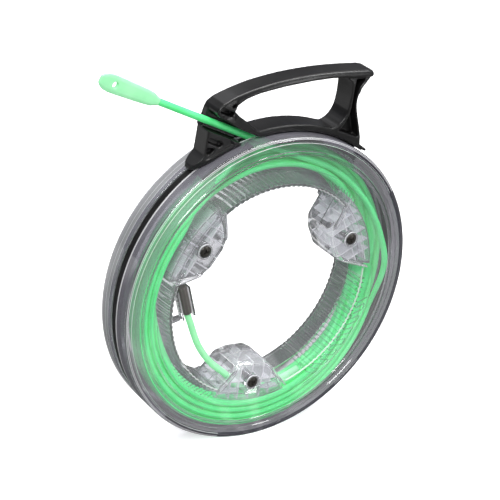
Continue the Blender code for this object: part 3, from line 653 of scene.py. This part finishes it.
def case_half(name, side, node_name):
    """Ring, bosses and moulded marks of one half, as pieces that stand for its node."""
    bm = bmesh.new()
    add_ring(bm, side)
    add_wall_ribs(bm, side)
    ring = mesh_object(name + "_ring", bm, CLEAR, "case", 30)
    for finish in RING_FINISHES:
        ring.data.materials.append(finish)
    bm = bmesh.new()
    for angle in BOSS_ANGLES:
        add_boss_cup(bm, angle, side)
        add_post(bm, angle, side)
        for start, end in RIBS:
            add_rib(bm, angle, start, end, side)
        if side < 0:
            add_wing(bm, angle, 1)
            add_wing(bm, angle, -1)
    bosses = mesh_object(name + "_bosses", bm, BOSS, "case", 30)
    # painted highlight: the bosses' bevelled edges take the light line finish
    bosses.data.materials.append(PAINTED_LINE_PLASTIC)
    bevel = bosses.modifiers.new("painted_highlight_edges", 'BEVEL')
    bevel.width = 0.0008
    bevel.segments = 2
    bevel.limit_method = 'ANGLE'
    bevel.angle_limit = math.radians(32)
    bevel.material = PAINTED_HIGHLIGHT
    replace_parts(ring, node_name)
    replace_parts(bosses, node_name)
    if side < 0:
        bm = bmesh.new()
        add_marks(bm)
        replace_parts(mesh_object("front_marks", bm, CLEAR, "case", 30), node_name)


def cut(target, maker):
    """Takes a shape away from a mesh object, leaving no helper behind."""
    bm = bmesh.new()
    maker(bm)
    bmesh.ops.recalc_face_normals(bm, faces=bm.faces)
    cutter = linked("cutter", to_mesh("cutter", bm))
    step = target.modifiers.new("cut", 'BOOLEAN')
    step.solver = 'EXACT'
    step.operation = 'DIFFERENCE'
    step.object = cutter
    target.data = evaluated_mesh(target)
    target.modifiers.clear()
    target.data.shade_smooth()
    target.data.set_sharp_from_angle(angle=math.radians(35))
    bpy.data.objects.remove(cutter, do_unlink=True)


def add_cross_bar(bm, centre, turn):
    """One arm of a cross recess, narrowing as it goes in."""
    way = Vector((math.cos(turn), 0.0, math.sin(turn)))
    across = Vector((-way.z, 0.0, way.x))
    centre = Vector((centre.x, 0.0, centre.z))
    rings = []
    for depth, long, short in ((-0.0265, 0.0037, 0.0009), (-0.0249, 0.0032, 0.0008),
                               (-0.0226, 0.0014, 0.0005)):
        rings.append([centre + way * (x * long) + across * (z * short) + Vector((0, depth, 0))
                      for x, z in ((1, 1), (-1, 1), (-1, -1), (1, -1))])
    loft(bm, rings)


SCREW = [(0.0012, -0.02495), (0.0026, -0.0248), (0.0038, -0.0244), (0.0050, -0.0238), (0.0056, -0.0229),
         (0.0056, -0.0216), (0.0022, -0.0215), (0.0021, 0.0080), (0.0012, 0.0092)]
for index, angle in enumerate(BOSS_ANGLES, 1):
    centre = polar(POST_CIRCLE, angle)
    bm = bmesh.new()
    loft(bm, [circle(centre, r, y, 40) for r, y in SCREW])
    screw = mesh_object(f"screw_{index}_body", bm, STEEL, "case", 35)
    for quarter in (0.0, math.pi / 2):
        cut(screw, lambda bm, c=centre, turn=0.5 + 0.7 * index + quarter: add_cross_bar(bm, c, turn))
    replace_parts(screw, f"case_screw_{index}")

case_half("front_case", -1, "front_shell")
case_half("rear_case", 1, "rear_shell")


# ---- the wound tape ----
# A lane is a column of the winding and a row in it, counted outwards. The turns go lane by lane.
LANES = [("A", 4), ("B", 4), ("C", 4), ("C", 3), ("C", 2), ("C", 1), ("B", 2), ("B", 3), ("A", 3),
         ("A", 2), ("I", 1), ("A", 1), ("B", 1)]
COLUMN = {"A": (0.0066, 0.1110), "B": (0.01204, 0.1077), "C": (0.01748, 0.1110), "I": (0.0, 0.1101)}
ROW_STEP = 0.0066
SHIFT = 0.02408                 # from the rear at the top to the front elsewhere
LEFT_CROSSING = {1: (150.0, 205.0), 2: (113.0, 147.0), 3: (100.0, 132.0), 4: (97.0, 124.0)}
START_ANGLE = -20.0
CHANGE = 36.0                   # degrees over which one lane passes into the next
LAST_STRETCH = 42.0             # degrees past the last full turn, towards the tail
WANDER = 0.00025

TAIL_BENDS = [(0.1102, -62.0), (0.1096, -75.0), (0.1078, -85.0), (0.1055, -94.6), (0.1004, -103.0),
              (0.0914, -110.8), (0.0857, -126.6), (0.0820, -144.2), (0.0812, -164.3), (0.0833, -171.7)]


def lane_point(lane, angle):
    """Radius and depth of a lane at an angle: to the rear at the top, to the front elsewhere."""
    column, row = lane
    depth, radius = COLUMN[column]
    radius += ROW_STEP * row
    if column == "I":
        return radius, 0.0
    a = (angle + 83.0) % 360.0 - 83.0
    low, high = LEFT_CROSSING[row]
    if a < 37.0:
        front = 1.0 - smoothstep((a + 75.0) / 112.0)
    else:
        front = smoothstep((a - low) / (high - low))
    if row == 1:
        radius -= 0.0013 * math.sin(math.pi * front)
    return radius, depth - SHIFT * front


def winding_points():
    """Centre line of the wound tape, from the outgoing run to the start of the tail."""
    feed = [along_run(-0.0123), polar(0.1243, 55.0, -0.0006), polar(0.1252, 45.0, -0.0035),
            polar(0.1275, 30.0, -0.0085), polar(0.1310, 15.0, -0.0130), polar(0.1345, 0.0, -0.0160)]
    first = lane_point(LANES[0], START_ANGLE)
    feed.append(polar(first[0], START_ANGLE, first[1]))
    points = catmull(feed, 8)[:-1]
    step = 3.0
    turns = len(LANES)
    total = 360.0 * turns + LAST_STRETCH
    count = int(total / step)
    for i in range(count + 1):
        travelled = min(i * step, total)
        turn = min(int(travelled // 360.0), turns - 1)
        within = travelled - 360.0 * turn
        angle = START_ANGLE - travelled
        radius, depth = lane_point(LANES[turn], angle)
        if turn < turns - 1 and within > 360.0 - CHANGE:
            t = smoothstep((within - 360.0 + CHANGE) / CHANGE)
            r2, d2 = lane_point(LANES[turn + 1], angle)
            radius, depth = radius + (r2 - radius) * t, depth + (d2 - depth) * t
        if turn == turns - 1 and within > 360.0:
            t = smoothstep((within - 360.0) / 40.0)
            radius, depth = radius + (TAIL_BENDS[0][0] - radius) * t, depth + (TAIL_DEPTH - depth) * t
        if LANES[turn][1] in (2, 3):
            radius += WANDER * noise.noise(Vector((turn * 3.7, math.radians(angle) * 1.3, 0.5)))
        points.append(polar(radius, angle, depth))
    return points[:-1]


bm = bmesh.new()
rod(bm, winding_points(), 16)
winding = mesh_object("tape_winding", bm, WOUND, "case", 80)
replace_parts(winding, "tape_coil")

bm = bmesh.new()
rod(bm, catmull([polar(r, a, TAIL_DEPTH) for r, a in TAIL_BENDS], 10), 24)
tail = mesh_object("tape_tail_rod", bm, PALE, "case", 80)
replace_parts(tail, "tape_tail")

bm = bmesh.new()
rod(bm, [along_run(LEAD_START + (LEAD_END - LEAD_START) * i / 60) for i in range(61)], 32)
lead = mesh_object("tape_lead_rod", bm, GREEN, "tape", 80)
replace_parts(lead, "tape_lead")


# ---- camera, floor and light ----
camera_data = bpy.data.cameras.new("camera")
camera_data.sensor_width = 36.0
camera_data.lens = 127.175
camera_data.clip_start = 0.05
camera_data.clip_end = 30.0
camera = linked("camera", camera_data)
camera.matrix_world = Matrix(((0.8336027, 0.1452574, -0.5329229, -0.8740589),
                              (-0.5407419, 0.4114810, -0.7336768, -1.1855742),
                              (0.1127157, 0.8997687, 0.4215584, 0.5155960),
                              (0.0, 0.0, 0.0, 1.0)))
bpy.context.scene.camera = camera

bm = bmesh.new()
bmesh.ops.create_grid(bm, x_segments=2, y_segments=2, size=12.0)
floor = linked("floor", to_mesh("floor", bm))
floor.location = (0.0, 0.0, FLOOR_Z - 0.0002)
floor_paint, nt, shader, output = new_material("floor_paint")
slow = noise_field(nt, 3.0, 2.0)
tone = ramp(nt, slow.outputs["Fac"], ((0.3, (0.86, 0.86, 0.86)), (0.7, (0.90, 0.90, 0.90))))
nt.links.new(tone.outputs["Color"], shader.inputs["Base Color"])
shader.inputs["Roughness"].default_value = 0.9
shader.inputs["Specular IOR Level"].default_value = 0.1
shader.inputs["Emission Color"].default_value = (1.0, 1.0, 1.0, 1.0)
shader.inputs["Emission Strength"].default_value = 0.42
coords = node(nt, "ShaderNodeTexCoord")
reach = node(nt, "ShaderNodeVectorMath", operation='DISTANCE')
reach.inputs[1].default_value = (0.36, 0.51, 0.0)
nt.links.new(coords.outputs["Object"], reach.inputs[0])
glow = map_range(nt, reach.outputs["Value"], 0.95, 0.10, 0.85, 1.7)
table = node(nt, "ShaderNodeEmission")
light_path = node(nt, "ShaderNodeLightPath")
bars = strips(nt, 11.0, 0.10, 1.1)
pick = node(nt, "ShaderNodeMix", data_type='FLOAT')
nt.links.new(light_path.outputs["Is Glossy Ray"], pick.inputs["Factor"])
nt.links.new(glow.outputs["Result"], pick.inputs["A"])
nt.links.new(bars.outputs["Result"], pick.inputs["B"])
nt.links.new(pick.outputs["Result"], table.inputs["Strength"])
mix = node(nt, "ShaderNodeMixShader")
nt.links.new(light_path.outputs["Is Camera Ray"], mix.inputs["Fac"])
nt.links.new(table.outputs["Emission"], mix.inputs[1])
nt.links.new(shader.outputs["BSDF"], mix.inputs[2])
nt.links.new(mix.outputs["Shader"], output.inputs["Surface"])
floor.data.materials.append(floor_paint)


def area(name, size, place, target, power):
    data = bpy.data.lights.new(name, 'AREA')
    data.shape = 'RECTANGLE'
    data.size, data.size_y = size
    data.energy = power
    lamp = linked(name, data)
    lamp.location = place
    lamp.rotation_euler = (Vector(target) - Vector(place)).to_track_quat("-Z", "Y").to_euler()


area("key_softbox", (0.9, 0.9), (-1.3, -1.1, 1.5), (0, 0, -0.15), 44)
area("top_softbox", (1.4, 0.7), (0.2, 0.2, 1.5), (0, 0, -0.15), 26)
area("side_strip", (0.35, 1.4), (1.2, -0.9, 1.4), (0, 0, -0.05), 18)
area("edge_strip", (0.10, 1.0), (0.95, -1.45, 0.05), (0, 0, -0.05), 4)

world = bpy.data.worlds.new("studio")
world.use_nodes = True
bpy.context.scene.world = world
nt = world.node_tree
background = nt.nodes["Background"]
coords = node(nt, "ShaderNodeTexCoord")
split = node(nt, "ShaderNodeSeparateXYZ")
nt.links.new(coords.outputs["Generated"], split.inputs["Vector"])
tone = ramp(nt, split.outputs["Z"], ((0.0, (0.10, 0.10, 0.11)), (0.35, (0.22, 0.22, 0.24)),
                                     (0.60, (0.50, 0.50, 0.52)), (1.0, (0.62, 0.62, 0.62))))
nt.links.new(tone.outputs["Color"], background.inputs["Color"])
bars = strips(nt, 9.0, 0.55, 2.2)
nt.links.new(bars.outputs["Result"], background.inputs["Strength"])
white = node(nt, "ShaderNodeBackground")
white.inputs["Color"].default_value = (1, 1, 1, 1)
white.inputs["Strength"].default_value = 1.0
path = node(nt, "ShaderNodeLightPath")
mix = node(nt, "ShaderNodeMixShader")
nt.links.new(path.outputs["Is Camera Ray"], mix.inputs["Fac"])
nt.links.new(background.outputs["Background"], mix.inputs[1])
nt.links.new(white.outputs["Background"], mix.inputs[2])
nt.links.new(mix.outputs["Shader"], nt.nodes["World Output"].inputs["Surface"])
bpy.context.scene.view_settings.view_transform = 'Standard'
